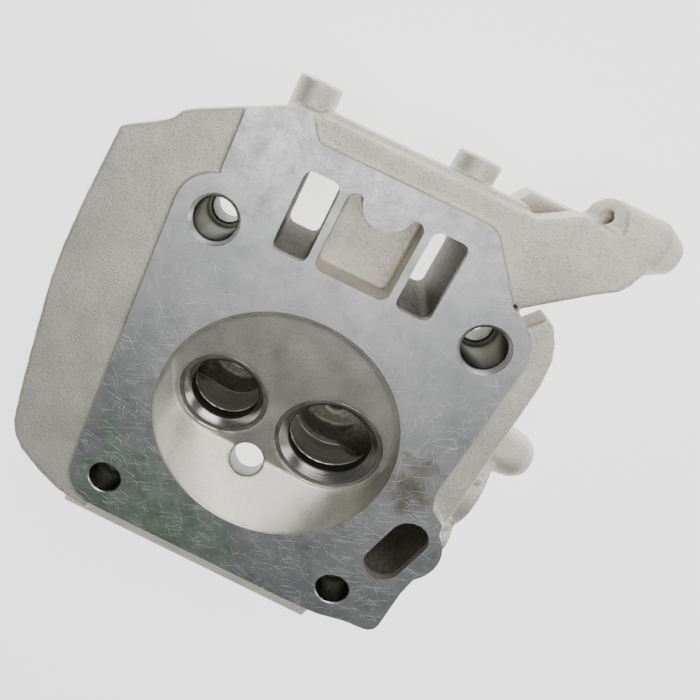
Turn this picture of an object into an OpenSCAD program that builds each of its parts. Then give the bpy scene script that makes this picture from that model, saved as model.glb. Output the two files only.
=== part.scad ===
// Cylinder head of a small overhead-valve engine, 88 mm bore, with its valve seats and guides.
// Origin: cylinder axis on the gasket face. +Z leaves the gasket face, +Y points to the push rods,
// +X points to the intake side. The head stands on its rocker cover rim, gasket face up.

/* [Gasket face] */
// Diameter of the combustion chamber at the gasket face
chamber_d = 88; // [84:0.5:90]
// Distance between the two columns of head bolts
bolt_spacing_x = 95.5; // [95:0.5:97]
// Distance between the two rows of head bolts
bolt_spacing_y = 110; // [108:0.5:112]
// How far the bolt pattern's centre lies towards the push rods
bolt_centre_y = 4.5; // [3:0.5:6]
// Thickness of the deck under the gasket face
deck_t = 14; // [12:0.5:16]

/* [Head bolts] */
// Clearance hole of the head bolts
bolt_hole_d = 11; // [10.5:0.1:11.5]
// Counterbore of the two push-rod side bolts, for oil drain-back
drain_bore_d = 14.2; // [13:0.1:15]
// Counterbore of the two plug side bolts, for locating dowels
dowel_bore_d = 12.4; // [12:0.1:13]
// Length of the bolt bosses, gasket face to bolt head
bolt_boss_h = 34; // [30:1:36]

/* [Combustion chamber] */
// Tilt of the chamber roof and the valves away from the cylinder axis
valve_tilt = 9.5; // [8:0.5:11]
// Depth of the chamber roof at the cylinder axis
roof_depth = 8.5; // [7:0.5:10]
// Distance between the two valve axes
valve_spacing = 42; // [41:0.5:43]
// Distance of the valve row from the cylinder axis, towards the plug
valve_row_y = -1; // [-2:0.5:0]

/* [Valve seats and guides] */
// Outer diameter of the exhaust valve seat
exhaust_seat_d = 33; // [32:0.5:34]
// Outer diameter of the intake valve seat
intake_seat_d = 39; // [38:0.5:39.5]
// Throat diameter of the exhaust valve seat
exhaust_throat_d = 25; // [24:0.5:26]
// Throat diameter of the intake valve seat
intake_throat_d = 30; // [29:0.5:31]
// Height of both valve seats
seat_h = 7; // [6:0.5:8]
// Valve stem bore of both guides
guide_bore_d = 6.6; // [6:0.1:7]
// Outer diameter of both guides
guide_d = 12; // [11:0.5:13]
// Length of both guides
guide_len = 28; // [26:1:30]

/* [Spark plug] */
// Lean of the plug towards the outside, from the cylinder axis
plug_tilt = 22; // [20:1:24]
// Hole that the plug thread is cut in
plug_hole_d = 12.5; // [12:0.1:13]

/* [Rocker box] */
// Height of the head, gasket face to rocker cover rim
head_h = 64; // [62:1:68]
// Inner width of the rocker box
box_w = 76; // [74:1:78]
// Wall thickness of the rocker box
box_wall = 4.5; // [4:0.5:5]

/* [Hidden] */

$fn = 64;
fine = 128;            // facets of the large round shapes
over = 1;              // how far a cutting shape runs past the face it leaves
far = 60;              // length of a cut that runs out of the metal

cast_colour = [0.72, 0.71, 0.68];
steel_colour = [0.42, 0.41, 0.38];
iron_colour = [0.35, 0.34, 0.32];
clip_colour = [0.25, 0.25, 0.27];

// Gasket face pad and as-cast plates around it
pad_x = 61.5;
pad_top_y = 95;
pad_low_y = -64.5;
flange_drop = 0.8;     // the exhaust side flange lies this far under the gasket face
ledge_drop = 1.5;      // the push-rod ledge and the arm lie this far under it
edge_drop = 2.5;       // the intake side flange lies this far under it
flange_t = 10;
ledge_y = 102.6;
edge_x = 70.5;
skirt_y = -72.5;

bolt_x = bolt_spacing_x / 2;
bolt_top_y = bolt_centre_y + bolt_spacing_y / 2;
bolt_low_y = bolt_centre_y - bolt_spacing_y / 2;
bolt_boss_r = 12;
bolt_chamfer = 1.6;
drain_depth = 22;
dowel_depth = 12.5;

// Push-rod windows and the blind pocket between them
window_y0 = 59.2;
window_y1 = 86.8;
window_x0 = 15.6;
window_x1 = 27.8;
window_r = 2.6;
pocket_x = 13;
pocket_depth = 13;
lug_r = 8.3;
lug_y = 87.5;

// Oblong drain-back hole at the intake side, plug side corner
slot_r = 7;
slot_a = [58.3, -30.2];
slot_b = [61.4, -16];
slot_depth = 29;

// Valve line
seat_ring_inset = 0.4; // the seats sit this far under the chamber roof
flat_margin_ex = 1.6;  // flat spot-faced ring around each seat
flat_margin_in = 0.9;
guide_tip = 27;        // start of the guides under the chamber roof
elbow_depth = 21;      // where the ports turn sideways
well_depth = 31;       // far end of the hollow behind each valve seat
well_margin = 1.5;
valve_x = valve_spacing / 2;
port_z = -roof_depth - elbow_depth * cos(valve_tilt);
port_y = valve_row_y + elbow_depth * sin(valve_tilt);
exhaust_port_r = exhaust_throat_d / 2 - 1.5;
intake_port_r = intake_throat_d / 2 - 2.5;
exhaust_face_x = -80;
intake_face_x = 78;
port_flange_t = 10;
exhaust_studs = [[-24, 0], [24, 0]];      // from the port axis, along Y and Z
intake_studs = [[-20.8, 12], [20.8, -12]]; // turned, to keep clear of the bracket boss
port_stud_r = 3.4;
exhaust_stud_depth = 18;
intake_stud_depth = 8.5; // stops short of the drain-back hole

// Rocker box
floor_z = -46;
floor_t = 6;
box_y0 = -20;
box_y1 = 79;
box_corner = 8;
cover_screw_x = 37;
cover_screw_y0 = -19;
cover_screw_y1 = 78;
cover_boss_r = 7;
cover_screw_r = 2.5;
cover_screw_depth = 14;
rocker_y = 46;
rocker_boss_r = 9.5;
rocker_top_z = -58;
rocker_screw_r = 3.4;
rocker_screw_depth = 20;
spring_seat_r = 14.5;
spring_seat_len = 38.5; // chamber roof to spring seat, along the valve
guide_boss_r = 9.5;
guide_boss_len = 43.5; // chamber roof to the end of the guide boss
clip_t = 1;

// Spark plug
plug_mouth = [-2.5, -22.5, -11];
plug_lean = 5;
plug_reach = 19;
plug_seat_d = 24;
plug_boss_r = 14;

// Fins on the plug side
fin_t = 2.6;
fin_z = [-21, -28.5, -36];
fin_x = 56;
fin_y = -60;

// Shroud bosses at the push-rod side
shroud_boss_x = [-35.5, 19.8];
shroud_boss_z = -18;
shroud_boss_r = 7.4;
shroud_boss_y = 110.5;
shroud_screw_r = 2.5;
shroud_screw_depth = 14;

// Arm with its half-round boss
arm_t = 10;
arm_boss_r = 9;
arm_boss_y = 108;
arm_boss_x0 = 60;
arm_boss_x1 = 84.5;
arm_screw_r = 2.1;
arm_screw_depth = 16;

// Throttle bracket boss at the intake side
bracket_boss_y = 20.5;
bracket_boss_z = -26;
bracket_boss_x = 91;

function arc_points(centre, r, from, to, steps) =
    [for (i = [0:steps]) let (a = from + (to - from) * i / steps) centre + r * [cos(a), sin(a)]];

function concat_all(lists) = [for (list = lists) for (item = list) item];

// Rectangle with round corners, between two opposite corner points
module round_rect(low, high, r) {
    translate([low[0] + r, low[1]]) square([high[0] - low[0] - 2 * r, high[1] - low[1]]);
    translate([low[0], low[1] + r]) square([high[0] - low[0], high[1] - low[1] - 2 * r]);
    for (x = [low[0] + r, high[0] - r], y = [low[1] + r, high[1] - r]) translate([x, y]) circle(r);
}

// Prism of a plan outline between two heights
module slab(z0, z1) {
    translate([0, 0, z0]) linear_extrude(z1 - z0) children();
}

// Cylinder between two heights at a plan position
module post(x, y, r, z0, z1) {
    translate([x, y, z0]) cylinder(r = r, h = z1 - z0);
}

// Cylinder along X between two X values
module bar_x(x0, x1, y, z, r) {
    translate([x0, y, z]) rotate([0, 90, 0]) cylinder(r = r, h = x1 - x0);
}

// Cylinder along Y between two Y values
module bar_y(y0, y1, x, z, r) {
    translate([x, y0, z]) rotate([-90, 0, 0]) cylinder(r = r, h = y1 - y0);
}

// Puts children in a valve's own frame: its origin on the chamber roof, +Z out of the chamber
module valve_frame(side) {
    translate([side * valve_x, valve_row_y, -roof_depth]) rotate([valve_tilt, 0, 0]) children();
}

// Puts children in the plug's own frame: origin at its mouth in the chamber, -Z out of the head
module plug_frame() {
    translate(plug_mouth) rotate([-plug_tilt, -plug_lean, 0]) children();
}

/* ---- plan outlines ---- */

module pad_outline() {
    polygon(concat_all([
        arc_points([-48.8, 60.8], 12.9, 180, 100, 8),
        [[-51.6, 75.4], [-51.6, 95.4], [-41.5, 100.6]],
        arc_points([-36.4, 95.9], 6.3, 105, 20, 6),
        [[-29, 96.4], [-27.4, pad_top_y], [27.6, pad_top_y]],
        arc_points([27.6, 86.6], 8.4, 90, 36, 5),
        [[48.7, 75], [50.5, 75.3]],
        arc_points([bolt_x + 0.9, bolt_top_y + 0.3], 12.9, 62, 0, 7),
        [[pad_x - 0.6, 23], [60.2, 5.8], [62.6, -1.2], [68.6, -4.8]],
        arc_points([60.5, -20.5], 14.6, 52, -44, 9),
        [[70, -39], [70, -55.5]],
        arc_points([65.4, -56.2], 4.6, 0, -80, 4),
        [[58, -61.4], [48, pad_low_y + 0.6], [34, pad_low_y]],
        arc_points([-47.6, -50.6], 13.9, -90, -180, 8)
    ]));
}

module flange_outline() {
    polygon([[-50, 92], [-52, 95.6], [-66.4, 88.4], [-70.1, 86.3], [-72.1, 83], [-75.6, 80.3],
             [-83.2, 75.9], [-86.9, 73.6], [-90.3, 46.5], [-91.9, 29], [-92.4, 15], [-91.6, 0],
             [-90.8, -15], [-89.6, -33], [-88.3, -46], [-86.3, -51.3], [-82, -56.4], [-73, -62],
             [-63.5, -66.2], [-50, -68.8], [-50, -50]]);
}

module ledge_outline() {
    polygon([[-36, 90], [-36, 102], [-29, ledge_y], [41.2, ledge_y], [51.8, 109], [55.5, 109.4],
             [58, arm_boss_y], [76, arm_boss_y], [76.4, 101.5], [75, 96.6], [73.4, 93.6],
             [67, 89], [50.8, 75.8], [40, 80], [30, 90]]);
}

module edge_outline() {
    polygon([[55, 70], [60, 76.5], [63.3, 75], [66.6, 70.4], [69, 65], [edge_x, 55],
             [edge_x, -8], [60, -20], [50, 0]]);
}

/* ---- solid shapes of the casting ---- */

module deck_plates() {
    slab(-deck_t, 0) pad_outline();
    slab(-flange_t, -flange_drop) flange_outline();
    slab(-deck_t, -ledge_drop) polygon([[-36, 90], [-36, 102], [-29, ledge_y], [44, ledge_y], [44, 80]]);
    slab(-deck_t, -6) polygon([[-34, 95], [-30, ledge_y + 1.6], [38, ledge_y + 1.6], [44, 95]]);
    slab(-deck_t, -edge_drop) edge_outline();
    plug_side_skirt();
}

module plug_side_skirt() {
    translate([-60, 0, 0]) rotate([90, 0, 90]) linear_extrude(105)
        polygon([[pad_low_y + 4, -1], [pad_low_y, -1], [skirt_y, -4.5], [skirt_y, -deck_t],
                 [pad_low_y + 4, -deck_t]]);
}

module arm() {
    slab(-ledge_drop - arm_t, -ledge_drop) ledge_outline();
    difference() {
        union() {
            bar_x(arm_boss_x0 - 8, arm_boss_x1 - 7, arm_boss_y, -ledge_drop - arm_boss_r, arm_boss_r);
            translate([arm_boss_x1 - 7, arm_boss_y, -ledge_drop - arm_boss_r]) rotate([0, 90, 0])
                cylinder(r1 = arm_boss_r, r2 = 5, h = 7);
        }
        arm_boss_notch();
    }
    // rib from the arm down to the rocker box
    slab(floor_z, -ledge_drop - 2) polygon([[36, 84], [42, 84], [66, 92], [64, 96], [40, 90]]);
    slab(-34, -20) polygon([[36, 88], [37, 103], [40, 107.5], [66, 107.5], [70, 92], [44, 84]]);
}

// Slanted end face of the arm's boss, which carries its threaded hole
module arm_boss_notch() {
    translate([64.6, 0, -ledge_drop]) rotate([0, 25, 0]) translate([-40, arm_boss_y + 0.4, -40])
        cube([40, 30, 80]);
}

module bolt_bosses() {
    for (x = [-bolt_x, bolt_x], y = [bolt_low_y, bolt_top_y])
        post(x, y, bolt_boss_r, -bolt_boss_h, -deck_t + 1);
}

module port_blocks() {
    slab(floor_z, -deck_t + 4) round_rect([-38, -18], [38, 24], 6);
    post(0, 0, 47, -22, -deck_t + 1);
    bar_x(exhaust_face_x, -20, port_y, port_z, exhaust_port_r + 4.5);
    bar_x(20, intake_face_x, port_y, port_z, intake_port_r + 4.5);
    port_flange(exhaust_face_x, exhaust_face_x + port_flange_t, exhaust_port_r, exhaust_studs);
    port_flange(intake_face_x - port_flange_t, intake_face_x, intake_port_r, intake_studs);
    // webs that tie the ports to the deck
    for (y = [port_y - 13, port_y + 9]) translate([exhaust_face_x + 2, y, port_z])
        cube([50, 4, -port_z - 4]);
    for (y = [port_y - 13, port_y + 9]) translate([30, y, port_z]) cube([intake_face_x - 34, 4, -port_z - 6]);
}

// Round flange with two stud lobes
module port_flange(x0, x1, port_r, studs) {
    bar_x(x0, x1, port_y, port_z, port_r + 8);
    for (at = studs) bar_x(x0, x1, port_y + at[0], port_z + at[1], 8);
}

module push_rod_block() {
    slab(floor_z, -deck_t + 1) round_rect([-32, 54], [32, 92], 4);
}

module rocker_box_walls() {
    grow = box_wall;
    slab(floor_z, floor_z + floor_t)
        round_rect([-box_w / 2 - grow, box_y0 - grow], [box_w / 2 + grow, box_y1 + grow], box_corner + grow);
    slab(-head_h, floor_z + 1)
        round_rect([-box_w / 2 - grow, box_y0 - grow], [box_w / 2 + grow, box_y1 + grow], box_corner + grow);
    for (x = [-cover_screw_x, cover_screw_x], y = [cover_screw_y0, cover_screw_y1])
        post(x, y, cover_boss_r, -head_h, floor_z + floor_t);
}

// What fills parts of the rocker box: rocker studs, guides, cover screws and bolt access
module rocker_box_fill() {
    for (side = [-1, 1]) {
        post(side * valve_x, rocker_y, rocker_boss_r, rocker_top_z, floor_z + 2);
        valve_frame(side) translate([0, 0, -guide_boss_len]) cylinder(r = guide_boss_r, h = 12);
        valve_frame(side) translate([0, 0, -spring_seat_len - 1.5]) cylinder(r = spring_seat_r, h = 8);
        post(side * bolt_x, bolt_top_y, 13.5, -head_h, floor_z + 2);
    }
    for (x = [-cover_screw_x, cover_screw_x], y = [cover_screw_y0, cover_screw_y1])
        post(x, y, cover_boss_r, -head_h, floor_z + 2);
}

module fins() {
    for (z = fin_z) slab(z - fin_t, z) fin_outline();
    for (x = [-30, 30]) translate([x - 1.5, fin_y + 4, fin_z[2] - fin_t]) cube([3, 44, 24]);
}

module fin_outline() {
    polygon(concat_all([
        [[-fin_x, -14], [-fin_x, -40]],
        arc_points([-48, -52], 8, 180, 270, 4),
        [[-20, fin_y], [20, fin_y]],
        arc_points([48, -52], 8, 270, 360, 4),
        [[fin_x, -40], [fin_x, -14]]
    ]));
}

module side_fins() {
    for (z = fin_z) slab(z - fin_t, z) {
        translate([-62, -30]) square([30, 74]);
        translate([32, -30]) square([30, 74]);
    }
}

// Oblong around the line between the drain-back hole's two centres
module slot_outline(r) {
    along = slot_b - slot_a;
    angle = atan2(along[1], along[0]);
    polygon(concat_all([
        arc_points(slot_a, r, angle + 90, angle + 270, 16),
        arc_points(slot_b, r, angle - 90, angle + 90, 16)
    ]));
}

module drain_boss() {
    slab(-slot_depth - 4, -deck_t + 1) slot_outline(slot_r + 5);
}

module plug_boss() {
    plug_frame() translate([0, 0, -plug_reach - 1]) cylinder(r = plug_boss_r, h = plug_reach);
}

module shroud_bosses() {
    for (x = shroud_boss_x) bar_y(80, shroud_boss_y, x, shroud_boss_z, shroud_boss_r);
}

module bracket_boss() {
    translate([60, bracket_boss_y, bracket_boss_z]) rotate([0, 90, 0])
        cylinder(r1 = 12.5, r2 = 8.5, h = bracket_boss_x - 64);
    translate([bracket_boss_x - 4, bracket_boss_y, bracket_boss_z]) rotate([0, 90, 0])
        cylinder(r1 = 8.5, r2 = 6, h = 4);
}

/* ---- hollows of the casting ---- */

// Wedge chamber: a round rim blended down to the flats around the two valves
module chamber() {
    intersection() {
        translate([0, 0, -30]) cylinder(d = chamber_d, h = 30 + over, $fn = fine);
        hull() {
            cylinder(d = chamber_d + 0.3, h = over * 2, $fn = 96);
            roof_frame() {
                roof_disc(-valve_x, 0, exhaust_seat_d / 2 + flat_margin_ex);
                roof_disc(valve_x, 0, intake_seat_d / 2 + flat_margin_in);
                intersection() {
                    translate([0, 1, 0]) cylinder(r = 42.6, h = 0.1, $fn = 96);
                    translate([-50, 6, -1]) cube([100, 50, 3]);
                }
            }
        }
    }
}

module roof_frame() {
    translate([0, valve_row_y, -roof_depth]) rotate([valve_tilt, 0, 0]) children();
}

module roof_disc(x, y, r) {
    translate([x, y, 0]) cylinder(r = r, h = 0.1, $fn = 64);
}

module seat_pocket(seat_d, throat_r) {
    translate([0, 0, -seat_ring_inset - seat_h]) cylinder(d = seat_d, h = seat_h + 6);
    translate([0, 0, -elbow_depth]) cylinder(r = throat_r, h = elbow_depth);
}

// Port from the valve throat to its flange, with the guide's boss left standing in it
module port_void(side, port_r, face_x) {
    bar_x(min(side * valve_x, face_x + side * over), max(side * valve_x, face_x + side * over),
          port_y, port_z, port_r);
    valve_frame(side) translate([0, 0, -well_depth])
        cylinder(r = port_r + well_margin, h = well_depth - seat_h);
}

module guide_bore(side) {
    valve_frame(side) translate([0, 0, -guide_boss_len - over])
        cylinder(d = guide_d, h = guide_boss_len - guide_tip);
}

module plug_hole() {
    plug_frame() {
        translate([0, 0, -plug_reach - 6]) cylinder(d = plug_hole_d, h = plug_reach + 26);
        translate([0, 0, -plug_reach - 1 - far]) cylinder(d = plug_seat_d, h = far);
    }
}

module windows() {
    for (side = [-1, 1]) {
        x0 = side > 0 ? window_x0 : -window_x1;
        x1 = side > 0 ? window_x1 : -window_x0;
        slab(floor_z - 1, over) round_rect([x0, window_y0], [x1, window_y1], window_r);
    }
}

module blind_pocket() {
    difference() {
        slab(-pocket_depth, over) round_rect([-pocket_x, window_y0], [pocket_x, window_y1], 3);
        post(0, lug_y, lug_r, -pocket_depth - 1, over * 2);
    }
}

module head_bolt_holes() {
    for (x = [-bolt_x, bolt_x]) {
        for (y = [bolt_low_y, bolt_top_y]) post(x, y, bolt_hole_d / 2, -head_h, over);
        for (y = [bolt_low_y, bolt_top_y]) post(x, y, 10.5, -head_h - over, -bolt_boss_h);
        post(x, bolt_top_y, drain_bore_d / 2, -drain_depth, over);
        post(x, bolt_low_y, dowel_bore_d / 2, -dowel_depth, over);
        translate([x, bolt_top_y, -bolt_chamfer])
            cylinder(r1 = drain_bore_d / 2, r2 = drain_bore_d / 2 + bolt_chamfer, h = bolt_chamfer);
        translate([x, bolt_low_y, -0.5])
            cylinder(r1 = dowel_bore_d / 2, r2 = dowel_bore_d / 2 + 0.5, h = 0.5);
    }
}

module drain_slot() {
    slab(-slot_depth, over) slot_outline(slot_r);
}

module rocker_box_hollow() {
    difference() {
        slab(-head_h - over, floor_z) round_rect([-box_w / 2, box_y0], [box_w / 2, box_y1], box_corner);
        rocker_box_fill();
    }
}

module port_stud_holes() {
    for (at = exhaust_studs)
        bar_x(exhaust_face_x - over, exhaust_face_x + exhaust_stud_depth,
              port_y + at[0], port_z + at[1], port_stud_r);
    for (at = intake_studs)
        bar_x(intake_face_x - intake_stud_depth, intake_face_x + over,
              port_y + at[0], port_z + at[1], port_stud_r);
}

module threaded_holes() {
    for (x = [-cover_screw_x, cover_screw_x], y = [cover_screw_y0, cover_screw_y1])
        post(x, y, cover_screw_r, -head_h - over, -head_h + cover_screw_depth);
    for (side = [-1, 1])
        post(side * valve_x, rocker_y, rocker_screw_r, rocker_top_z - over, rocker_top_z + rocker_screw_depth);
    for (x = shroud_boss_x)
        bar_y(shroud_boss_y - shroud_screw_depth, shroud_boss_y + over, x, shroud_boss_z, shroud_screw_r);
    port_stud_holes();
    bar_x(arm_boss_x0 - 20, arm_boss_x0 + arm_screw_depth, arm_boss_y + 3, -ledge_drop - arm_boss_r,
          arm_screw_r);
    bar_x(bracket_boss_x - 14, bracket_boss_x + over, bracket_boss_y, bracket_boss_z, 2.5);
}

/* ---- sub-parts ---- */

module head_casting() {
    color(cast_colour) difference() {
        union() {
            deck_plates();
            arm();
            bolt_bosses();
            port_blocks();
            push_rod_block();
            rocker_box_walls();
            fins();
            side_fins();
            drain_boss();
            plug_boss();
            shroud_bosses();
            bracket_boss();
        }
        rocker_box_hollow();
        chamber();
        valve_frame(-1) seat_pocket(exhaust_seat_d, exhaust_throat_d / 2);
        valve_frame(1) seat_pocket(intake_seat_d, intake_throat_d / 2);
        port_void(-1, exhaust_port_r, exhaust_face_x);
        port_void(1, intake_port_r, intake_face_x);
        guide_bore(-1);
        guide_bore(1);
        plug_hole();
        windows();
        blind_pocket();
        head_bolt_holes();
        drain_slot();
        threaded_holes();
    }
}

// Ring with a flat outer face, a 45 degree valve face and a straight throat
module valve_seat(side, seat_d, throat_d) {
    face_w = (seat_d - throat_d) / 2 - 1.3;
    color(steel_colour) valve_frame(side) translate([0, 0, -seat_ring_inset - seat_h])
        rotate_extrude($fn = fine)
            polygon([[throat_d / 2, 0], [seat_d / 2, 0], [seat_d / 2, seat_h],
                     [seat_d / 2 - 1.3, seat_h], [throat_d / 2, seat_h - face_w]]);
}

module exhaust_valve_seat() {
    valve_seat(-1, exhaust_seat_d, exhaust_throat_d);
}

module intake_valve_seat() {
    valve_seat(1, intake_seat_d, intake_throat_d);
}

module valve_guide(side, groove) {
    color(iron_colour) valve_frame(side) difference() {
        translate([0, 0, -guide_tip - guide_len]) cylinder(d = guide_d, h = guide_len);
        translate([0, 0, -guide_tip - guide_len - over])
            cylinder(d = guide_bore_d, h = guide_len + 2 * over);
        if (groove) translate([0, 0, -guide_boss_len - clip_t]) difference() {
            cylinder(d = guide_d + 2, h = clip_t);
            translate([0, 0, -over]) cylinder(d = guide_d - 1.4, h = clip_t + 2 * over);
        }
    }
}

module exhaust_valve_guide() {
    valve_guide(-1, true);
}

module intake_valve_guide() {
    valve_guide(1, false);
}

// Open snap ring in the groove of the exhaust guide
module exhaust_guide_clip() {
    color(clip_colour) valve_frame(-1) translate([0, 0, -guide_boss_len - clip_t]) difference() {
        cylinder(d = guide_d + 3, h = clip_t);
        translate([0, 0, -over]) cylinder(d = guide_d - 1.4, h = clip_t + 2 * over);
        translate([0, -2.5, -over]) cube([guide_d, 5, clip_t + 2 * over]);
    }
}

head_casting();
exhaust_valve_seat();
intake_valve_seat();
exhaust_valve_guide();
intake_valve_guide();
exhaust_guide_clip();
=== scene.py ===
"""Looks of a small engine's cylinder head, gasket face up, on a pale floor."""

import math
from collections import namedtuple

import bmesh
import bpy
import numpy as np
from mathutils import Euler, Matrix, Vector


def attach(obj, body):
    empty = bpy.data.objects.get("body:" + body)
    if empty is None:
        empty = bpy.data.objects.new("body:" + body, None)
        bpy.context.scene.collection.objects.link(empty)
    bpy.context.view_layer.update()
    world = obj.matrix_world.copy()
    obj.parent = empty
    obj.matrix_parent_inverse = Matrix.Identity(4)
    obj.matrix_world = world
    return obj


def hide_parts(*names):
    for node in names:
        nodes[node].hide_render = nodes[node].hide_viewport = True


MM = 0.001

BoltRow = namedtuple("BoltRow", "name y bore_r bore_depth chamfer lip")
Valve = namedtuple("Valve", "name side seat_r throat_r spot_face_r well_r port_r")

# Lines and levels of the head, in millimetres, in the row frame
RIM_Z = -64
ROOF_Z = -8.5
CHAMBER_R = 44
FLOOR_Z = -46
PORT_Y = 2.466
PORT_Z = -29.212
EXHAUST_FACE_X = -80
INTAKE_FACE_X = 78
EXHAUST_STUDS = ((-24, 0), (24, 0))            # from the port's own line, along Y and Z
INTAKE_STUDS = ((-20.8, 12), (20.8, -12))
ROCKER_PLACE = (46, -58)                       # Y and Z of the rocker bosses' faces
COVER_X = 37
COVER_Y = (-19, 78)
SHROUD_BOSS_X = (-35.5, 19.8)
SHROUD_BOSS_FACE = (110.5, -18)                # Y and Z
BRACKET_BOSS_FACE = (91, 20.5, -26)
WINDOW_X = (15.6, 27.8)
WINDOW_Y = (59.2, 86.8)
DRAIN_X = (50, 69)
DRAIN_Y = (-38, -8)
DRAIN_DEPTH = 29

# Head bolt holes: a narrow hole under a wider bore; lip is how far down its bright edge goes
BOLT_X = 47.75
BOLT_R = 5.5
BOLT_HOLE_END = -38
BOLT_ROWS = (BoltRow("top_bolt", 59.5, 7.1, 22, 1.6, 1.62),
             BoltRow("low_bolt", -50.5, 6.2, 12.5, 0.5, 0.6))

# Valves: seat rings, guides and the hollows behind them
VALVE_TILT = math.radians(9.5)
VALVE_X = 21
VALVE_Y = -1
EXHAUST = Valve("exhaust", -1, 16.5, 12.5, 18.1, 15, 11)
INTAKE = Valve("intake", 1, 19.5, 15, 20.4, 17, 12.5)
VALVES = (EXHAUST, INTAKE)
SPOT_FACE_Z = -0.18
SEAT_TOP = -0.4
SEAT_BOTTOM = -7.4
THROAT_END = -20
GUIDE_R = 6
STEM_R = 3.3
GUIDE_TOP = -27
GUIDE_END = -55
CLIP_GROOVE = (5.3, -43.5, -44.5)              # radius at its bottom, then its two sides

# Spark plug hole
PLUG_MOUTH = (-2.5, -22.5, -11)
PLUG_LEAN = (math.radians(-22), math.radians(-5), 0)
PLUG_R = 6.25
PLUG_SEAT_R = 12
PLUG_SEAT_Z = -20

# Screw and stud holes: radius, depth and chamfer
ROCKER_HOLE = (3.4, 20, 0.5)
EXHAUST_STUD_HOLE = (3.4, 18, 0.6)
INTAKE_STUD_HOLE = (3.4, 8.5, 0.6)
SMALL_HOLE = (2.5, 14, 0.5)

# How the casting is rounded
WELD = 2e-6            # metres; joins the points that the CAD mesh keeps apart
STOCK = 2.0            # metal left on machined faces before they are cut
VOXEL = 0.62
SOFTEN_STEPS = 9
CASTING_SHARP_ANGLE = math.radians(32)
TURNED_SHARP_ANGLE = math.radians(25)

# Material slots of the casting and of the seat rings; the last two casting slots and the last seat
# slot are painted shade
CAST, MACHINED, CHAMBER, BORED, PAINTED_SHADE_BORE, PAINTED_SHADE_HOLLOW = range(6)
SEAT_DULL, SEAT_GROUND, SEAT_PAINTED_SHADE = range(3)

# How far past a surface a face's centre may lie and still take that surface's metal
ON_PLANE = 0.02
NEAR_HOLE = 0.1
NEAR_BORE = 0.2
NEAR_WALL = 0.4
DARK_FROM = -2.5       # the painted shade on the walls of windows and drain-back hole starts at this height

# Marks on the gasket face: the way each set runs, in degrees, and how rare its marks are
SCRATCH_SETS = ((24, 0.72), (-52, 0.735), (80, 0.73), (-12, 0.735), (55, 0.74), (-75, 0.745))
SCRATCH_SQUEEZE = (1.5, 48, 1)
RING_SQUEEZE = (1, 1, 60)


def shader(name):
    """A new material: its node tree and its main shader node."""
    material = bpy.data.materials.new(name)
    material.use_nodes = True
    tree = material.node_tree
    return material, tree, tree.nodes["Principled BSDF"]


def add_node(tree, kind, **inputs):
    node = tree.nodes.new(kind)
    for key, value in inputs.items():
        node.inputs[key].default_value = value
    return node


def noise(tree, scale, detail=4.0, roughness=0.55, squeeze=None, turn=0.0):
    """Noise in metres of the row frame, optionally turned about Z and squeezed along its axes."""
    coords = tree.nodes.new("ShaderNodeTexCoord")
    texture = add_node(tree, "ShaderNodeTexNoise", Scale=scale, Detail=detail, Roughness=roughness)
    if squeeze is None:
        tree.links.new(coords.outputs["Object"], texture.inputs["Vector"])
    else:
        place = tree.nodes.new("ShaderNodeMapping")
        place.inputs["Rotation"].default_value = (0, 0, math.radians(turn))
        place.vector_type = "TEXTURE"
        place.inputs["Scale"].default_value = [1 / part for part in squeeze]
        tree.links.new(coords.outputs["Object"], place.inputs["Vector"])
        tree.links.new(place.outputs["Vector"], texture.inputs["Vector"])
    return texture.outputs["Fac"]


def ramp(tree, value, low, high, start, end):
    """Maps value from low..high to the colours start..end."""
    node = tree.nodes.new("ShaderNodeValToRGB")
    node.color_ramp.elements[0].position = low
    node.color_ramp.elements[0].color = (*start, 1)
    node.color_ramp.elements[1].position = high
    node.color_ramp.elements[1].color = (*end, 1)
    tree.links.new(value, node.inputs["Fac"])
    return node.outputs["Color"]


def remap(tree, value, low, high, start, end):
    """Maps value from low..high to the numbers start..end."""
    node = tree.nodes.new("ShaderNodeMapRange")
    node.inputs["From Min"].default_value = low
    node.inputs["From Max"].default_value = high
    node.inputs["To Min"].default_value = start
    node.inputs["To Max"].default_value = end
    tree.links.new(value, node.inputs["Value"])
    return node.outputs["Result"]


def mix(tree, first, second, amount):
    """Blends a node's colour towards a fixed colour, by a node's output."""
    node = tree.nodes.new("ShaderNodeMix")
    node.data_type = "RGBA"
    tree.links.new(amount, node.inputs["Factor"])
    tree.links.new(first, node.inputs["A"])
    node.inputs["B"].default_value = (*second, 1)
    return node.outputs["Result"]


def bump(tree, height, distance, strength, under=None):
    """A bumped normal; distance is in metres, and under is a normal to add it to."""
    node = tree.nodes.new("ShaderNodeBump")
    node.inputs["Distance"].default_value = distance
    node.inputs["Strength"].default_value = strength
    tree.links.new(height, node.inputs["Height"])
    if under is not None:
        tree.links.new(under, node.inputs["Normal"])
    return node.outputs["Normal"]


def spot(tree, centre, radius, softness):
    """1 near a point of the row frame and 0 outside a radius, with a ragged edge, in metres."""
    coords = tree.nodes.new("ShaderNodeTexCoord")
    far = tree.nodes.new("ShaderNodeVectorMath")
    far.operation = "DISTANCE"
    far.inputs[1].default_value = centre
    tree.links.new(coords.outputs["Object"], far.inputs[0])
    ragged = remap(tree, noise(tree, 90.0), 0.3, 0.7, -softness, softness)
    total = tree.nodes.new("ShaderNodeMath")
    total.operation = "ADD"
    tree.links.new(far.outputs["Value"], total.inputs[0])
    tree.links.new(ragged, total.inputs[1])
    return remap(tree, total.outputs["Value"], radius + softness, radius - softness, 0.0, 1.0)


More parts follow.
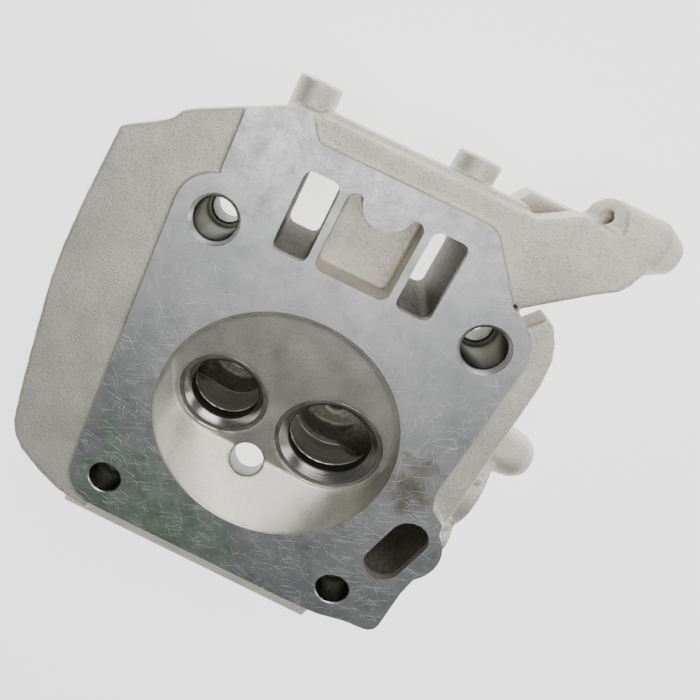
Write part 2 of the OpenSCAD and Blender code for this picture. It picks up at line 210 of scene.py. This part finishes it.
def cast_aluminium():
    material, tree, main = shader("cast_aluminium")
    main.inputs["Metallic"].default_value = 0.85
    grain = noise(tree, 1500.0, 3.0, 0.7)
    pits = noise(tree, 2600.0, 2.0, 0.6)
    patches = noise(tree, 45.0, 5.0, 0.6)
    base = ramp(tree, patches, 0.3, 0.7, (0.54, 0.515, 0.445), (0.79, 0.765, 0.68))
    speckled = mix(tree, base, (0.22, 0.205, 0.18), remap(tree, grain, 0.5, 0.7, 0.0, 0.5))
    tree.links.new(speckled, main.inputs["Base Color"])
    tree.links.new(remap(tree, grain, 0.3, 0.7, 0.42, 0.6), main.inputs["Roughness"])
    coarse = bump(tree, grain, 0.00035, 0.6)
    tree.links.new(bump(tree, pits, 0.00012, 0.5, coarse), main.inputs["Normal"])
    return material


def scratches(tree, turn, level):
    """Thin straight marks that run one way over the gasket face, 1 on a mark and 0 beside it."""
    lines = noise(tree, 60.0, 0.0, 0.5, SCRATCH_SQUEEZE, turn)
    return remap(tree, lines, level, level + 0.05, 0.0, 1.0)


def machined_aluminium():
    """The gasket face and the other milled faces, with a painted green reflection near one corner, a
    brown stain and marks.
    """
    material, tree, main = shader("machined_aluminium")
    main.inputs["Metallic"].default_value = 1.0
    patches = noise(tree, 26.0, 6.0, 0.65)
    clouds = noise(tree, 120.0, 6.0, 0.72)
    base = ramp(tree, patches, 0.32, 0.68, (0.36, 0.375, 0.38), (0.56, 0.57, 0.57))
    clouded = mix(tree, base, (0.30, 0.305, 0.30), remap(tree, clouds, 0.48, 0.72, 0.0, 0.6))
    # painted reflection: a green patch stands for a green surface mirrored in the milled face
    green_reflection_painted = mix(tree, clouded, (0.33, 0.42, 0.34), spot(tree, (-0.03, -0.062, 0), 0.030, 0.022))
    marked = mix(tree, green_reflection_painted, (0.20, 0.16, 0.11), spot(tree, (0.0535, 0.004, 0), 0.005, 0.009))
    wear = remap(tree, clouds, 0.35, 0.7, 0.36, 0.5)
    tree.links.new(wear, main.inputs["Roughness"])
    normal = None
    for turn, level in SCRATCH_SETS:
        marks = scratches(tree, turn, level)
        marked = mix(tree, marked, (0.92, 0.93, 0.93), remap(tree, marks, 0.0, 1.0, 0.0, 0.45))
        normal = bump(tree, marks, 0.00004, 0.6, normal)
    tree.links.new(marked, main.inputs["Base Color"])
    tree.links.new(normal, main.inputs["Normal"])
    return material


def chamber_aluminium():
    material, tree, main = shader("chamber_aluminium")
    main.inputs["Metallic"].default_value = 1.0
    patches = noise(tree, 60.0, 5.0, 0.6)
    grain = noise(tree, 1500.0, 3.0, 0.6)
    base = ramp(tree, patches, 0.3, 0.7, (0.60, 0.595, 0.525), (0.76, 0.75, 0.67))
    speckled = mix(tree, base, (0.26, 0.255, 0.22), remap(tree, grain, 0.52, 0.72, 0.0, 0.5))
    tree.links.new(speckled, main.inputs["Base Color"])
    tree.links.new(remap(tree, patches, 0.3, 0.7, 0.40, 0.50), main.inputs["Roughness"])
    tree.links.new(bump(tree, grain, 0.00008, 0.35), main.inputs["Normal"])
    return material


def painted_shade_aluminium():
    """Painted shade: dark metal for the cast walls inside the ports, the push-rod windows and the
    drain-back hole.
    """
    material, tree, main = shader("painted_shade_aluminium")
    main.inputs["Metallic"].default_value = 0.6
    grain = noise(tree, 700.0, 3.0, 0.65)
    # painted shade: these dark browns stand for the dimness inside the hollows
    base = ramp(tree, grain, 0.35, 0.7, (0.24, 0.235, 0.20), (0.11, 0.107, 0.09))
    tree.links.new(base, main.inputs["Base Color"])
    main.inputs["Roughness"].default_value = 0.6
    tree.links.new(bump(tree, grain, 0.0003, 0.5), main.inputs["Normal"])
    return material


def bored_metal(name, colour, low, high):
    """Turned or bored metal: its fine rings are noise squeezed along the row frame's Z."""
    material, tree, main = shader(name)
    main.inputs["Metallic"].default_value = 1.0
    rings = noise(tree, 40.0, 3.0, 0.6, RING_SQUEEZE)
    dark = tuple(part * 0.72 for part in colour)
    tree.links.new(ramp(tree, rings, 0.35, 0.65, dark, colour), main.inputs["Base Color"])
    tree.links.new(remap(tree, rings, 0.3, 0.7, low, high), main.inputs["Roughness"])
    tree.links.new(bump(tree, rings, 0.00003, 0.3), main.inputs["Normal"])
    return material


def floor_paint():
    """Pale paint that glows a little, so that the floor stays near white behind the head."""
    material, _, main = shader("pale_floor")
    main.inputs["Base Color"].default_value = (0.86, 0.865, 0.87, 1)
    main.inputs["Roughness"].default_value = 0.7
    main.inputs["Emission Color"].default_value = (1, 1, 1, 1)
    main.inputs["Emission Strength"].default_value = 1.7
    return material


def new_object(name, mesh):
    piece = bpy.data.objects.new(name, mesh)
    bpy.context.scene.collection.objects.link(piece)
    return piece


def object_from(shape, name):
    """Makes an object of a bmesh, and frees the bmesh."""
    mesh = bpy.data.meshes.new(name)
    shape.to_mesh(mesh)
    shape.free()
    return new_object(name, mesh)


def lathe(name, profile, place, segments=144):
    """Closed solid turned about its own Z from (radius, height) points in millimetres, then placed."""
    points = [(r * MM, z * MM) for r, z in profile]
    shape = bmesh.new()
    rings = []
    for r, z in points:
        if r == 0:
            rings.append([shape.verts.new((0, 0, z))])
        else:
            angles = [2 * math.pi * i / segments for i in range(segments)]
            rings.append([shape.verts.new((r * math.cos(a), r * math.sin(a), z)) for a in angles])
    pairs = list(zip(rings, rings[1:]))
    if points[0][0] > 0:
        pairs.append((rings[-1], rings[0]))
    for first, second in pairs:
        for i in range(segments):
            j = (i + 1) % segments
            corners = [first[i % len(first)], first[j % len(first)]]
            corners += [second[j % len(second)], second[i % len(second)]]
            unique = list(dict.fromkeys(corners))
            if len(unique) > 2:
                shape.faces.new(unique)
    bmesh.ops.recalc_face_normals(shape, faces=shape.faces)
    shape.transform(place)
    return object_from(shape, name)


def block(name, low, high):
    """A box between two corners in millimetres."""
    shape = bmesh.new()
    bmesh.ops.create_cube(shape, size=1)
    for vert in shape.verts:
        vert.co = Vector([(low[i] if vert.co[i] < 0 else high[i]) * MM for i in range(3)])
    return object_from(shape, name)


def upright(x, y, z=0):
    """A frame at a point in millimetres, turned as the row frame is."""
    return Matrix.Translation(Vector((x, y, z)) * MM)


def along(axis, x, y, z):
    """A frame at a point in millimetres whose own Z runs along an axis."""
    turn = Vector((0, 0, 1)).rotation_difference(Vector(axis)).to_matrix().to_4x4()
    return upright(x, y, z) @ turn


def valve_place(side):
    """A valve's frame: its origin on the chamber roof, its Z out of the chamber."""
    return upright(side * VALVE_X, VALVE_Y, ROOF_Z) @ Matrix.Rotation(VALVE_TILT, 4, "X")


def plug_place():
    return upright(*PLUG_MOUTH) @ Euler(PLUG_LEAN, "XYZ").to_matrix().to_4x4()


def hole_profile(r, depth, chamfer):
    """A blind hole that opens at height 0 with a small chamfer."""
    return [(0, 1), (r + chamfer + 1, 1), (r, -chamfer), (r, -depth), (0, -depth)]


def bolt_profile(row):
    """A head bolt hole and the wider bore above it, with a chamfer at the gasket face."""
    over = 2
    return [(0, over), (row.bore_r + row.chamfer + over, over), (row.bore_r, -row.chamfer),
            (row.bore_r, -row.bore_depth), (BOLT_R, -row.bore_depth), (BOLT_R, BOLT_HOLE_END),
            (0, BOLT_HOLE_END)]


def seat_pocket_profile(valve):
    """The flat cut around a seat ring, the ring's pocket and the throat behind it."""
    over = 3
    return [(0, over), (valve.spot_face_r, over), (valve.spot_face_r, SPOT_FACE_Z),
            (valve.seat_r, SPOT_FACE_Z), (valve.seat_r, SEAT_BOTTOM),
            (valve.throat_r, SEAT_BOTTOM), (valve.throat_r, THROAT_END), (0, THROAT_END)]


def guide_hole_profile():
    """Clears the casting from a guide's place, from the port down to the rocker box."""
    start, end = -25, -47
    return [(0, start), (GUIDE_R, start), (GUIDE_R, end), (0, end)]


def plug_profile():
    """The plug's threaded hole, the small bevel at its outer end and the flat for the plug's seat."""
    inside, bevel, bevel_r, outside = 12, 0.6, 7.2, -60
    return [(0, inside), (PLUG_R, inside), (PLUG_R, PLUG_SEAT_Z + bevel), (bevel_r, PLUG_SEAT_Z),
            (PLUG_SEAT_R, PLUG_SEAT_Z), (PLUG_SEAT_R, outside), (0, outside)]


def facing_cutters():
    """Slabs that cut the casting flat at the gasket face and at the rim."""
    low_x, low_y, high_x, high_y = -120, -100, 120, 140
    top = block("above_gasket_face", (low_x, low_y, 0), (high_x, high_y, 20))
    bottom = block("below_rim", (low_x, low_y, -90), (high_x, high_y, RIM_Z))
    return [top, bottom]


def casting_cutters():
    """What the machine shop takes off the rough casting."""
    cutters = facing_cutters()
    for x in (-BOLT_X, BOLT_X):
        for row in BOLT_ROWS:
            cutters.append(lathe(row.name, bolt_profile(row), upright(x, row.y)))
    for valve in VALVES:
        pocket = seat_pocket_profile(valve)
        cutters.append(lathe(f"{valve.name}_pocket", pocket, valve_place(valve.side)))
    for side in (-1, 1):
        cutters.append(lathe("guide_bore", guide_hole_profile(), valve_place(side)))
        rocker = along((0, 0, -1), side * VALVE_X, *ROCKER_PLACE)
        cutters.append(lathe("rocker_hole", hole_profile(*ROCKER_HOLE), rocker))
    cutters.append(lathe("plug_hole", plug_profile(), plug_place()))
    for x in (-COVER_X, COVER_X):
        for y in COVER_Y:
            place = along((0, 0, -1), x, y, RIM_Z)
            cutters.append(lathe("cover_hole", hole_profile(*SMALL_HOLE), place))
    for x in SHROUD_BOSS_X:
        place = along((0, 1, 0), x, *SHROUD_BOSS_FACE)
        cutters.append(lathe("shroud_hole", hole_profile(*SMALL_HOLE), place))
    for y, z in EXHAUST_STUDS:
        place = along((-1, 0, 0), EXHAUST_FACE_X, PORT_Y + y, PORT_Z + z)
        cutters.append(lathe("exhaust_stud", hole_profile(*EXHAUST_STUD_HOLE), place))
    for y, z in INTAKE_STUDS:
        place = along((1, 0, 0), INTAKE_FACE_X, PORT_Y + y, PORT_Z + z)
        cutters.append(lathe("intake_stud", hole_profile(*INTAKE_STUD_HOLE), place))
    bracket = along((1, 0, 0), *BRACKET_BOSS_FACE)
    cutters.append(lathe("bracket_hole", hole_profile(*SMALL_HOLE), bracket))
    return cutters


def with_stock(shape):
    """Raises the gasket face and lowers the rim of the casting, to be cut back later."""
    on_level = 1e-5
    square_on = 0.99
    for level, way in ((0, 1), (RIM_Z, -1)):
        face_list = []
        for face in shape.faces:
            height = face.calc_center_median().z
            if abs(height - level * MM) < on_level and face.normal.z * way > square_on:
                face_list.append(face)
        raised = bmesh.ops.extrude_face_region(shape, geom=face_list)
        verts = [item for item in raised["geom"] if isinstance(item, bmesh.types.BMVert)]
        bmesh.ops.translate(shape, verts=verts, vec=(0, 0, way * STOCK * MM))
        bmesh.ops.delete(shape, geom=face_list, context="FACES")


def rough_casting(node):
    """A welded copy of the CAD casting, with stock on its machined faces."""
    shape = bmesh.new()
    shape.from_mesh(node.data)
    shape.transform(node.matrix_world)
    bmesh.ops.remove_doubles(shape, verts=shape.verts, dist=WELD)
    with_stock(shape)
    return object_from(shape, "casting")


def face_vectors(mesh, what):
    """The centre or the normal of each face, as the rows of an array."""
    values = np.empty(len(mesh.polygons) * 3)
    mesh.polygons.foreach_get(what, values)
    return values.reshape(-1, 3)


def in_frame(centres, place):
    """Centres in metres of the row frame, as millimetres of another frame."""
    turn = np.array(place.inverted())
    return (centres @ turn[:3, :3].T + turn[:3, 3]) / MM


def near_axis(centres, place, radius, low, high):
    """Which centres lie within a radius of a frame's Z, between two heights in millimetres."""
    local = in_frame(centres, place)
    distance = np.hypot(local[:, 0], local[:, 1])
    return (distance < radius) & (local[:, 2] > low) & (local[:, 2] < high)


def between(values, limits, margin=0):
    """Which values lie between two limits, or past them by less than a margin."""
    return (values > limits[0] - margin) & (values < limits[1] + margin)


def paint_faces(slots, centres, normals):
    """The chamber's surface and the flat machined faces."""
    roof_margin = 1
    face_margin = 0.2
    intake_margin = 0.3
    facing_out = 0.9
    deck_bottom = -11
    x, y, z = (centres / MM).T
    roof_height = in_frame(centres, valve_place(0))[:, 2]
    inside_rim = np.hypot(x, y) < CHAMBER_R + NEAR_WALL
    slots[inside_rim & (roof_height > -roof_margin) & (z < -ON_PLANE)] = CHAMBER
    slots[(z > -ON_PLANE) | (z < RIM_Z + ON_PLANE)] = MACHINED
    exhaust_face = (x < EXHAUST_FACE_X + face_margin) & (z < deck_bottom)
    slots[exhaust_face & (normals[:, 0] < -facing_out)] = MACHINED
    intake_face = abs(x - INTAKE_FACE_X) < intake_margin
    slots[intake_face & (normals[:, 0] > facing_out)] = MACHINED


def paint_bolt_holes(slots, centres):
    """Bright chamfers, and walls darkened with painted shade."""
    walls_end = -33.5
    for x in (-BOLT_X, BOLT_X):
        for row in BOLT_ROWS:
            place = upright(x, row.y)
            edge_r = row.bore_r + row.chamfer + NEAR_HOLE
            slots[near_axis(centres, place, edge_r, -row.lip, -ON_PLANE)] = BORED
            # painted shade: the bore walls below the bright chamfer are painted nearly black
            slots[near_axis(centres, place, row.bore_r + NEAR_BORE, walls_end, -row.lip)] = PAINTED_SHADE_BORE


def paint_hollows(slots, centres, normals):
    """Painted shade on the walls inside the ports, behind the valves, in the windows and in the
    drain-back hole.
    """
    port_reach = (15, 76)
    well_reach = (-32.5, -7)
    x, y, z = (centres / MM).T
    for valve in VALVES:
        port = along((valve.side, 0, 0), 0, PORT_Y, PORT_Z)
        # painted shade inside the ports and behind the valves
        slots[near_axis(centres, port, valve.port_r + NEAR_WALL, *port_reach)] = PAINTED_SHADE_HOLLOW
        slots[near_axis(centres, valve_place(valve.side), valve.well_r, *well_reach)] = PAINTED_SHADE_HOLLOW
    # painted shade in the push-rod windows and the drain-back hole
    window = between(abs(x), WINDOW_X, NEAR_WALL) & between(y, WINDOW_Y, NEAR_WALL)
    slots[window & between(z, (FLOOR_Z - 0.5, DARK_FROM))] = PAINTED_SHADE_HOLLOW
    drain = between(x, DRAIN_X) & between(y, DRAIN_Y) & (normals[:, 2] > -0.5)
    slots[drain & between(z, (-DRAIN_DEPTH - NEAR_WALL, DARK_FROM))] = PAINTED_SHADE_HOLLOW


def paint_bores(slots, centres):
    """The seat pockets with their throats in bored metal, and the plug's hole in painted shade."""
    pocket_reach = (THROAT_END - NEAR_HOLE, -0.25)
    plug_reach = (PLUG_SEAT_Z - NEAR_HOLE, 8)
    for valve in VALVES:
        pocket_r = valve.seat_r + NEAR_HOLE
        slots[near_axis(centres, valve_place(valve.side), pocket_r, *pocket_reach)] = BORED
    # painted shade: the plug's hole is painted nearly black
    slots[near_axis(centres, plug_place(), PLUG_R + NEAR_HOLE, *plug_reach)] = PAINTED_SHADE_BORE


def paint_casting(mesh):
    """Gives each face of the casting its metal, from where it lies and which way it looks."""
    centres = face_vectors(mesh, "center")
    normals = face_vectors(mesh, "normal")
    slots = np.full(len(centres), CAST, dtype=np.int32)
    paint_faces(slots, centres, normals)
    paint_bolt_holes(slots, centres)
    paint_hollows(slots, centres, normals)
    paint_bores(slots, centres)
    mesh.polygons.foreach_set("material_index", slots)


def set_materials(mesh, materials):
    mesh.materials.clear()
    for material in materials:
        mesh.materials.append(material)


def shade(mesh, sharp_angle):
    """Smooth shading, with edges sharper than an angle left crisp."""
    mesh.polygons.foreach_set("use_smooth", [True] * len(mesh.polygons))
    mesh.set_sharp_from_angle(angle=sharp_angle)


def finished_casting(node, materials):
    """The casting with cast edges rounded and machined faces cut crisp."""
    rough = rough_casting(node)
    remesh = rough.modifiers.new("remesh", "REMESH")
    remesh.mode = "VOXEL"
    remesh.voxel_size = VOXEL * MM
    soften = rough.modifiers.new("soften", "SMOOTH")
    soften.factor = 0.5
    soften.iterations = SOFTEN_STEPS
    cutters = casting_cutters()
    for cutter in cutters:
        cut = rough.modifiers.new(cutter.name, "BOOLEAN")
        cut.operation = "DIFFERENCE"
        cut.solver = "MANIFOLD"
        cut.object = cutter
    graph = bpy.context.evaluated_depsgraph_get()
    mesh = bpy.data.meshes.new_from_object(rough.evaluated_get(graph))
    for spare in cutters + [rough]:
        bpy.data.objects.remove(spare)
    set_materials(mesh, materials)
    paint_casting(mesh)
    shade(mesh, CASTING_SHARP_ANGLE)
    return new_object("head_casting_finished", mesh)


def dress(piece, node, materials):
    """Materials, soft shading and the CAD node that a turned piece stands for."""
    set_materials(piece.data, materials)
    shade(piece.data, TURNED_SHARP_ANGLE)
    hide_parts(node)
    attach(piece, "root")


def valve_seat(valve, metals):
    """Seat ring: a flat outer ring, a small step, the ground 45 degree face and the throat."""
    node = f"{valve.name}_valve_seat"
    place = valve_place(valve.side)
    edge = 0.15
    flat_r = valve.seat_r - 1.2
    step_z = -0.85
    face_r = flat_r - 0.3
    choke_r = valve.throat_r + 0.35
    profile = [(valve.throat_r, SEAT_BOTTOM), (valve.seat_r, SEAT_BOTTOM),
               (valve.seat_r, SEAT_TOP - edge), (valve.seat_r - edge, SEAT_TOP),
               (flat_r, SEAT_TOP), (flat_r - 0.12, step_z), (face_r, step_z),
               (choke_r, step_z - (face_r - choke_r)), (valve.throat_r, -3.9)]
    piece = lathe(f"{node}_ring", profile, place, 192)
    dress(piece, node, metals)
    centres = face_vectors(piece.data, "center")
    slots = np.full(len(centres), SEAT_DULL, dtype=np.int32)
    slots[near_axis(centres, place, flat_r - 0.35, -3.2, step_z - 0.01)] = SEAT_GROUND
    # painted shade: the deep throat of the ring is painted nearly black
    slots[near_axis(centres, place, valve.throat_r + 0.25, -8, -3.3)] = SEAT_PAINTED_SHADE
    piece.data.polygons.foreach_set("material_index", slots)


def valve_guide(valve, material):
    """Guide with small bevels; the exhaust guide has a groove for its clip."""
    node = f"{valve.name}_valve_guide"
    bevel = 0.5
    profile = [(STEM_R, GUIDE_TOP - bevel), (STEM_R + bevel, GUIDE_TOP),
               (GUIDE_R - bevel, GUIDE_TOP), (GUIDE_R, GUIDE_TOP - bevel)]
    if valve is EXHAUST:
        groove_r, near_z, far_z = CLIP_GROOVE
        profile += [(GUIDE_R, near_z), (groove_r, near_z), (groove_r, far_z), (GUIDE_R, far_z)]
    profile += [(GUIDE_R, GUIDE_END + bevel), (GUIDE_R - bevel, GUIDE_END),
                (STEM_R + bevel, GUIDE_END), (STEM_R, GUIDE_END + bevel)]
    piece = lathe(f"{node}_turned", profile, valve_place(valve.side), 96)
    dress(piece, node, [material])


def area_light(name, place, target, size, power, colour=(1, 1, 1)):
    data = bpy.data.lights.new(name, "AREA")
    data.shape = "RECTANGLE"
    data.size, data.size_y = size
    data.energy = power
    data.color = colour
    light = bpy.data.objects.new(name, data)
    light.location = place
    light.rotation_euler = (Vector(target) - Vector(place)).to_track_quat("-Z", "Y").to_euler()
    bpy.context.scene.collection.objects.link(light)


def studio():
    """Soft light from above, from behind and from the side, over a pale floor."""
    world = bpy.data.worlds.new("studio")
    world.use_nodes = True
    background = world.node_tree.nodes["Background"]
    background.inputs["Color"].default_value = (0.95, 0.97, 1.0, 1)
    background.inputs["Strength"].default_value = 0.16
    bpy.context.scene.world = world
    area_light("overhead", (0.0, 0.09, 0.9), (0, 0.02, 0), (0.66, 0.52), 4.6, (1, 0.99, 0.965))
    area_light("back", (0.1, 0.75, 0.55), (0, 0, 0), (0.8, 0.35), 4.5)
    area_light("side", (0.8, 0.1, 0.45), (0, 0, 0), (0.3, 0.7), 2.0)
    gap = 0.0002       # keeps the floor clear of the rim that stands on it
    bpy.ops.mesh.primitive_plane_add(size=6, location=(0, 0, RIM_Z * MM - gap))
    floor = bpy.context.object
    floor.name = "floor"
    floor.data.materials.append(floor_paint())


def camera():
    data = bpy.data.cameras.new("camera")
    data.lens = 35.51
    data.sensor_width = 36
    data.shift_x = 0.136
    data.shift_y = -0.0567
    data.clip_start = 0.01
    eye = bpy.data.objects.new("camera", data)
    eye.location = (-0.01996, 0.12198, 0.21206)
    eye.rotation_euler = [math.radians(angle) for angle in (-19.364, 10.05, 23.955)]
    bpy.context.scene.collection.objects.link(eye)
    bpy.context.scene.camera = eye


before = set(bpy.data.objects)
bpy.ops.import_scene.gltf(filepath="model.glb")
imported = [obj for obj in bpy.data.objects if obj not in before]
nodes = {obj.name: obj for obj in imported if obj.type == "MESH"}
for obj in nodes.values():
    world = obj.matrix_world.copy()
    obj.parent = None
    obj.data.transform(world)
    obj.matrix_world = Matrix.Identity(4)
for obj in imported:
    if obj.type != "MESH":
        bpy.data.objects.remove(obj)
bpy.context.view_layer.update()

cast = cast_aluminium()
machined = machined_aluminium()
chamber = chamber_aluminium()
bored = bored_metal("bored_aluminium", (0.80, 0.79, 0.755), 0.3, 0.45)
# painted shade: near-black metal for the deep bolt and plug holes
shaded_bore_metal = bored_metal("bore_painted_shade", (0.16, 0.17, 0.14), 0.3, 0.45)
seat_dull = bored_metal("seat_steel", (0.40, 0.395, 0.36), 0.34, 0.46)
seat_ground = bored_metal("seat_face_steel", (0.43, 0.425, 0.395), 0.2, 0.28)
# painted shade for the seat rings' deep throats
seat_shade_metal = bored_metal("seat_throat_painted_shade", (0.10, 0.10, 0.085), 0.35, 0.5)
# painted shade for the ports, windows and drain-back hole
shaded_hollow_metal = painted_shade_aluminium()
guide_iron = bored_metal("guide_iron", (0.33, 0.31, 0.28), 0.35, 0.5)
clip_steel = bored_metal("clip_steel", (0.2, 0.2, 0.21), 0.3, 0.4)

casting = finished_casting(nodes["head_casting"], [cast, machined, chamber, bored, shaded_bore_metal, shaded_hollow_metal])
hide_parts("head_casting")
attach(casting, "root")

for valve in VALVES:
    valve_seat(valve, [seat_dull, seat_ground, seat_shade_metal])
for valve in VALVES:
    valve_guide(valve, guide_iron)
set_materials(nodes["exhaust_guide_clip"].data, [clip_steel])

studio()
camera()
